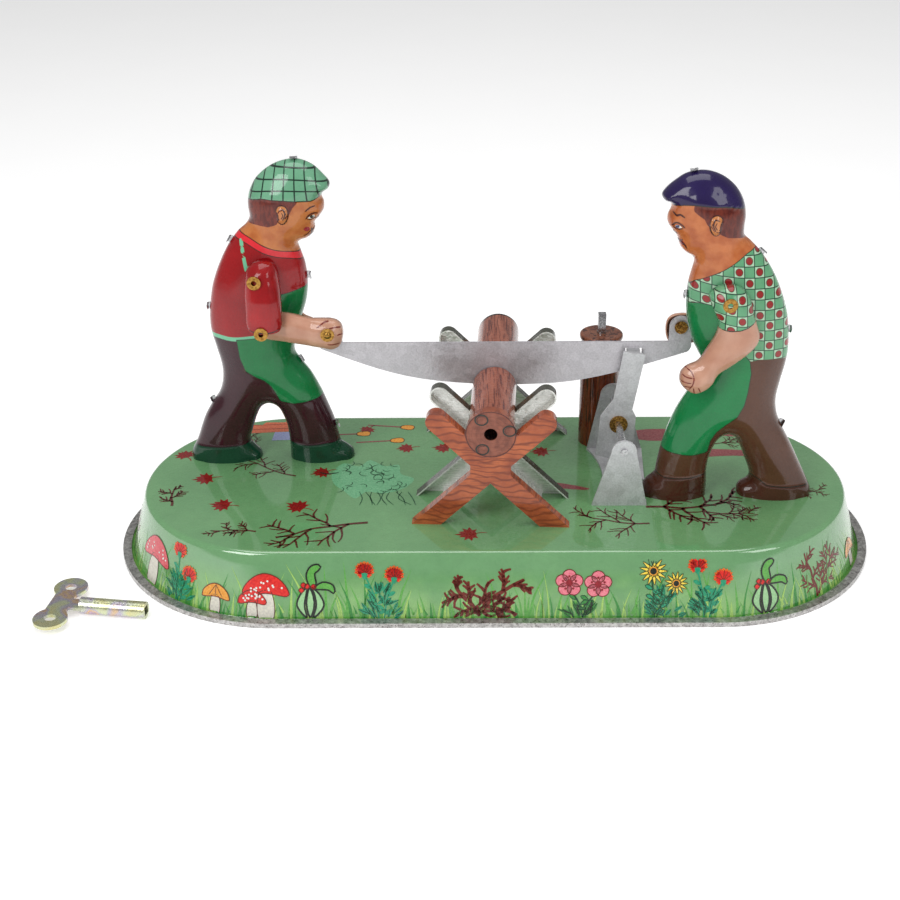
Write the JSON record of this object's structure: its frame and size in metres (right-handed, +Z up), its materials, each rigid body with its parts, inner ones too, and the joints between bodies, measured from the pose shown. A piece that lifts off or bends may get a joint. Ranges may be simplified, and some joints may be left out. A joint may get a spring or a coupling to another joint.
{
  "type": "clockwork tin toy",
  "caption": "Clockwork tinplate toy: two printed figures push and pull a saw over a log on a trestle, driven by a rocking lever, with a loose winding key.",
  "frame": {"origin": "centre of the base's flat underside", "axes": "+X along the base from the left figure to the right figure, +Y away from the viewer, +Z up"},
  "size_m": [0.2419, 0.1052, 0.1162],
  "materials": {
    "bare_tin": "bare tinplate, dull",
    "brass": "polished",
    "bright_steel": "bright",
    "printed_green": "gloss lithographed tin",
    "printed_left_man": "gloss lithographed tin",
    "printed_log": "gloss lithographed tin",
    "printed_right_man": "gloss lithographed tin",
    "printed_skin": "gloss lithographed tin",
    "printed_stump": "gloss lithographed tin",
    "printed_wood": "gloss lithographed tin",
    "spring_steel": "blued",
    "yellow_zinc": "yellow passivated zinc",
    "zinc_steel": "galvanised, faint spangle"
  },
  "bodies": {
    "frame": {"bottom_plate": "bare_tin", "base_shell": "printed_green", "trestle_front": "printed_wood", "trestle_middle": "printed_wood", "trestle_rear": "printed_wood", "log_shell": "printed_log", "log_end_cap": "printed_log", "stump_tube": "printed_stump", "stump_cap": "printed_log", "left_man_near_shell": "printed_left_man", "left_man_far_shell": "printed_left_man", "right_man_near_shell": "printed_right_man", "right_man_far_shell": "printed_right_man", "lever_bracket": "zinc_steel", "lever_axle": "bright_steel", "motor_lower_plate": "bare_tin", "motor_upper_plate": "bare_tin", "motor_pillars": "bare_tin", "crank_stud": "bright_steel", "mainspring": "spring_steel"},
    "lever": {"rocker_lever": "zinc_steel", "lever_hub": "brass"},
    "saw": {"saw_blade": "zinc_steel"},
    "left_upper_arm": {"left_man_upper_arm": "printed_left_man", "left_man_shoulder_eyelet": "brass", "left_man_elbow_eyelet": "brass"},
    "left_forearm": {"left_man_forearm": "printed_skin", "left_man_hand_rivet": "brass"},
    "right_upper_arm": {"right_man_upper_arm": "printed_right_man", "right_man_shoulder_eyelet": "brass", "right_man_elbow_eyelet": "brass"},
    "right_forearm": {"right_man_forearm": "printed_skin", "right_man_hand_rivet": "brass"},
    "left_hanging_arm": {"left_man_hanging_arm": "printed_left_man", "left_man_hanging_arm_eyelet": "brass"},
    "right_hanging_arm": {"right_man_hanging_arm": "printed_right_man", "right_man_hanging_arm_eyelet": "brass"},
    "winding_arbor": {"winding_arbor": "bright_steel", "ratchet_wheel": "bright_steel"},
    "great_wheel": {"great_wheel": "bright_steel", "click_rivet": "bright_steel"},
    "click": {"click": "bright_steel"},
    "second_arbor": {"second_arbor": "bright_steel", "second_pinion": "bright_steel", "second_wheel": "bright_steel"},
    "crank": {"crank_pinion": "bright_steel", "crank_wheel": "bright_steel", "crank_hub": "bright_steel", "crank_disc": "bright_steel", "crank_pin": "bright_steel"},
    "governor": {"governor_arbor": "bright_steel", "governor_pinion": "bright_steel", "governor_weight": "bright_steel"},
    "key": {"key_tube": "yellow_zinc", "key_wing": "yellow_zinc"}
  },
  "joints": [
    {"name": "lever_rock", "type": "hinge", "parent": "frame", "child": "lever", "pos_m": [0.037, 0.0016, 0.0369], "axis": [0, 1, 0], "range_deg": [-11, 5]},
    {"name": "saw_stroke", "type": "slide", "parent": "frame", "child": "saw", "axis": [1, 0, 0], "range_m": [-0.00439, 0.002]},
    {"name": "left_shoulder", "type": "hinge", "parent": "frame", "child": "left_upper_arm", "pos_m": [-0.0683, 0.004, 0.0819], "axis": [0, 1, 0], "range_deg": [-8, 17]},
    {"name": "left_elbow", "type": "hinge", "parent": "left_upper_arm", "child": "left_forearm", "pos_m": [-0.0671, 0.002, 0.0667], "axis": [0, 1, 0], "range_deg": [-17, 8]},
    {"name": "right_shoulder", "type": "hinge", "parent": "frame", "child": "right_upper_arm", "pos_m": [0.0729, 0.004, 0.0822], "axis": [0, 1, 0], "range_deg": [-8, 17]},
    {"name": "right_elbow", "type": "hinge", "parent": "right_upper_arm", "child": "right_forearm", "pos_m": [0.0731, 0.006, 0.0668], "axis": [0, 1, 0], "range_deg": [-17, 8]},
    {"name": "left_hanging_arm_swing", "type": "hinge", "parent": "frame", "child": "left_hanging_arm", "pos_m": [-0.0641, 0.026, 0.0809], "axis": [0, 1, 0], "range_deg": [-20, 15]},
    {"name": "right_hanging_arm_swing", "type": "hinge", "parent": "frame", "child": "right_hanging_arm", "pos_m": [0.0627, -0.019, 0.0837], "axis": [0, 1, 0], "range_deg": [-15, 20]},
    {"name": "winding", "type": "hinge", "parent": "frame", "child": "winding_arbor", "pos_m": [0.0333, 0.0256, 0.03], "axis": [0, 0, 1], "continuous": true},
    {"name": "great_wheel_turn", "type": "hinge", "parent": "frame", "child": "great_wheel", "pos_m": [0.0333, 0.0256, 0.0113], "axis": [0, 0, 1], "continuous": true},
    {"name": "click_rock", "type": "hinge", "parent": "great_wheel", "child": "click", "pos_m": [0.0413, 0.0266, 0.0137], "axis": [0, 0, 1], "range_deg": [-12, 0]},
    {"name": "second_arbor_turn", "type": "hinge", "parent": "frame", "child": "second_arbor", "pos_m": [0.02553, 0.00936, 0.01], "axis": [0, 0, 1], "continuous": true},
    {"name": "crank_turn", "type": "hinge", "parent": "frame", "child": "crank", "pos_m": [0.0386, 0.0016, 0.009], "axis": [0, 0, 1], "continuous": true},
    {"name": "governor_turn", "type": "hinge", "parent": "frame", "child": "governor", "pos_m": [0.05097, -0.00417, 0.009], "axis": [0, 0, 1], "continuous": true},
    {"name": "key_lift", "type": "slide", "parent": "frame", "child": "key", "axis": [0, 0, 1], "range_m": [0, 0.06]}
  ],
  "couplings": [
    {"joint": "lever_rock", "follows": "saw_stroke", "rad_per_m": 43.687},
    {"joint": "left_shoulder", "follows": "saw_stroke", "rad_per_m": -65.79},
    {"joint": "left_elbow", "follows": "saw_stroke", "rad_per_m": 65.79},
    {"joint": "right_shoulder", "follows": "saw_stroke", "rad_per_m": -64.935},
    {"joint": "right_elbow", "follows": "saw_stroke", "rad_per_m": 64.935},
    {"joint": "second_arbor_turn", "follows": "great_wheel_turn", "ratio": -3},
    {"joint": "crank_turn", "follows": "great_wheel_turn", "ratio": 8.4},
    {"joint": "governor_turn", "follows": "great_wheel_turn", "ratio": -28}
  ]
}
